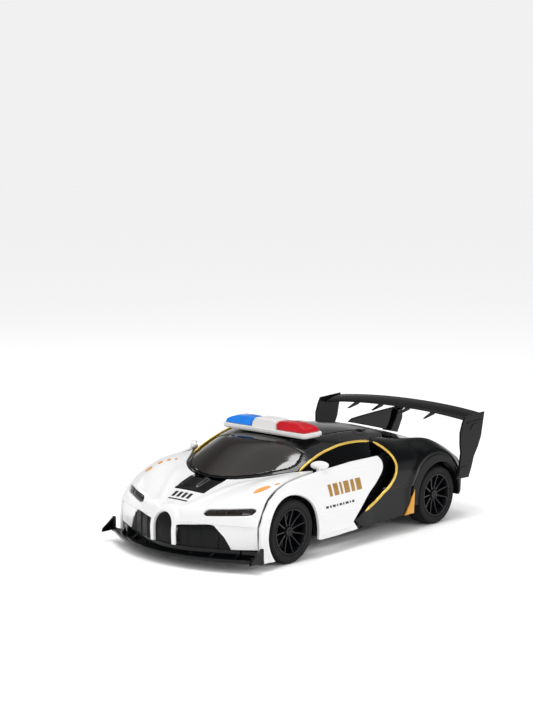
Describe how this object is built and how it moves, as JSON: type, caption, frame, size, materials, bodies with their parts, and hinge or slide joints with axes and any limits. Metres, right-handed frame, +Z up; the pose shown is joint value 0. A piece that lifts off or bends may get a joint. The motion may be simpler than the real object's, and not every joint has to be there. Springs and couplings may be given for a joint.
{
  "type": "transforming robot car",
  "caption": "Toy sports car whose roof and nose swing up on a hinge while the doors fold out on arms, turning it into a standing robot.",
  "frame": {"origin": "on the ground under the middle of the car's length and width, standing as a car on its four wheels", "axes": "+X forward to the nose, +Y to the car's left, +Z up"},
  "size_m": [0.25, 0.132, 0.0778],
  "materials": {
    "white_body": "glossy white moulded ABS",
    "gloss_black": "glossy black moulded ABS",
    "matte_black": "satin black moulded ABS",
    "rim_black": "satin black moulded rim",
    "tyre": "black moulded rubber with fine cross ribs",
    "smoke_glazing": "smoked brown-black glossy glazing",
    "lamp_white": "off-white moulded ABS",
    "blue_lens": "clear blue moulded lens",
    "red_lens": "clear red moulded lens",
    "gold": "gold paint on ABS",
    "silver": "silver paint on ABS",
    "steel": "drawn steel",
    "circuit_board": "green solder mask",
    "battery_wrap": "blue shrink wrap"
  },
  "bodies": {
    "base": {"rear_shell": "gloss_black", "arch_flare_left": "matte_black", "arch_flare_right": "matte_black", "side_scoop_left": "matte_black", "side_scoop_right": "matte_black", "wing_blade": "gloss_black", "wing_endplate_left": "matte_black", "wing_endplate_right": "matte_black", "wing_pylon": "gloss_black", "tail_panel": "matte_black", "floor_pan": "matte_black", "hinge_frame": "matte_black", "gearbox_case": "matte_black", "drive_motor_left": "steel", "drive_motor_right": "steel", "lift_gearbox": "matte_black", "battery_pack": "battery_wrap", "battery_cover": "matte_black", "control_board": "circuit_board"},
    "power_switch": {"power_switch": "matte_black"},
    "casters": {"caster_rollers": "matte_black"},
    "rear_wheel_left": {"rear_rim_left": "rim_black", "rear_tyre_left": "tyre", "rear_axle_left": "steel"},
    "rear_wheel_right": {"rear_rim_right": "rim_black", "rear_tyre_right": "tyre", "rear_axle_right": "steel"},
    "motor_pinion_left": {"motor_pinion_left": "steel"},
    "motor_pinion_right": {"motor_pinion_right": "steel"},
    "roof": {"roof_panel": "gloss_black", "windshield": "smoke_glazing", "light_bar_base": "lamp_white", "light_lens_left": "red_lens", "light_lens_right": "blue_lens", "torso_core": "matte_black", "chest_armour": "silver", "chest_crest": "gold", "waist_armour": "silver", "thigh_plate_left": "gold", "thigh_plate_right": "gold", "shin_armour_left": "silver", "shin_armour_right": "silver"},
    "nose": {"hood_shell": "white_body", "grille": "matte_black", "headlight_left": "gloss_black", "headlight_right": "gloss_black", "splitter": "gloss_black", "nose_frame": "matte_black"},
    "head": {"robot_head": "gloss_black"},
    "vent_flap": {"vent_flap": "gloss_black"},
    "arm_left": {"arm_link_left": "matte_black"},
    "arm_right": {"arm_link_right": "matte_black"},
    "door_left": {"door_panel_left": "white_body", "door_bracket_left": "matte_black"},
    "door_right": {"door_panel_right": "white_body", "door_bracket_right": "matte_black"},
    "front_wheel_left": {"front_rim_left": "rim_black", "front_tyre_left": "tyre"},
    "front_wheel_right": {"front_rim_right": "rim_black", "front_tyre_right": "tyre"}
  },
  "joints": [
    {"name": "roof_lift", "type": "hinge", "parent": "base", "child": "roof", "pos_m": [-0.041, 0, 0.058], "axis": [0, -1, 0], "range_deg": [0, 90]},
    {"name": "nose_level", "type": "hinge", "parent": "roof", "child": "nose", "pos_m": [0.092, 0, 0.032], "axis": [0, -1, 0], "range_deg": [-90, 0]},
    {"name": "arm_swing_left", "type": "hinge", "parent": "nose", "child": "arm_left", "pos_m": [0.085, 0.037, 0.027], "axis": [0, 0, -1], "range_deg": [0, 90]},
    {"name": "arm_swing_right", "type": "hinge", "parent": "nose", "child": "arm_right", "pos_m": [0.085, -0.037, 0.027], "axis": [0, 0, 1], "range_deg": [0, 90]},
    {"name": "door_swing_left", "type": "hinge", "parent": "arm_left", "child": "door_left", "pos_m": [0.0511, 0.04, 0.027], "axis": [0, 0, 1], "range_deg": [0, 90]},
    {"name": "door_swing_right", "type": "hinge", "parent": "arm_right", "child": "door_right", "pos_m": [0.0511, -0.04, 0.027], "axis": [0, 0, -1], "range_deg": [0, 90]},
    {"name": "head_rise", "type": "slide", "parent": "nose", "child": "head", "axis": [0, 0, 1], "range_m": [0, 0.025]},
    {"name": "vent_open", "type": "hinge", "parent": "nose", "child": "vent_flap", "pos_m": [0.0831, 0, 0.0451], "axis": [0, -1, 0], "range_deg": [0, 163]},
    {"name": "power_slide", "type": "slide", "parent": "base", "child": "power_switch", "axis": [1, 0, 0], "range_m": [0, 0.003]},
    {"name": "caster_spin", "type": "hinge", "parent": "base", "child": "casters", "pos_m": [0.034, 0, 0.004], "axis": [0, 1, 0], "continuous": true},
    {"name": "rear_spin_left", "type": "hinge", "parent": "base", "child": "rear_wheel_left", "pos_m": [-0.076, 0.055, 0.02], "axis": [0, 1, 0], "continuous": true},
    {"name": "rear_spin_right", "type": "hinge", "parent": "base", "child": "rear_wheel_right", "pos_m": [-0.076, -0.055, 0.02], "axis": [0, 1, 0], "continuous": true},
    {"name": "pinion_spin_left", "type": "hinge", "parent": "base", "child": "motor_pinion_left", "pos_m": [-0.0657, 0.032, 0.02], "axis": [0, 1, 0], "continuous": true},
    {"name": "pinion_spin_right", "type": "hinge", "parent": "base", "child": "motor_pinion_right", "pos_m": [-0.0657, -0.032, 0.02], "axis": [0, 1, 0], "continuous": true},
    {"name": "front_spin_left", "type": "hinge", "parent": "door_left", "child": "front_wheel_left", "pos_m": [0.071, 0.055, 0.02], "axis": [0, 1, 0], "continuous": true},
    {"name": "front_spin_right", "type": "hinge", "parent": "door_right", "child": "front_wheel_right", "pos_m": [0.071, -0.055, 0.02], "axis": [0, 1, 0], "continuous": true}
  ],
  "couplings": [
    {"joint": "nose_level", "follows": "roof_lift", "ratio": -1},
    {"joint": "arm_swing_left", "follows": "roof_lift", "ratio": 1},
    {"joint": "arm_swing_right", "follows": "roof_lift", "ratio": 1},
    {"joint": "door_swing_left", "follows": "roof_lift", "ratio": 1},
    {"joint": "door_swing_right", "follows": "roof_lift", "ratio": 1},
    {"joint": "head_rise", "follows": "roof_lift", "m_per_rad": 0.0159},
    {"joint": "vent_open", "follows": "roof_lift", "ratio": 1.8},
    {"joint": "pinion_spin_left", "follows": "rear_spin_left", "ratio": -3},
    {"joint": "pinion_spin_right", "follows": "rear_spin_right", "ratio": -3}
  ]
}
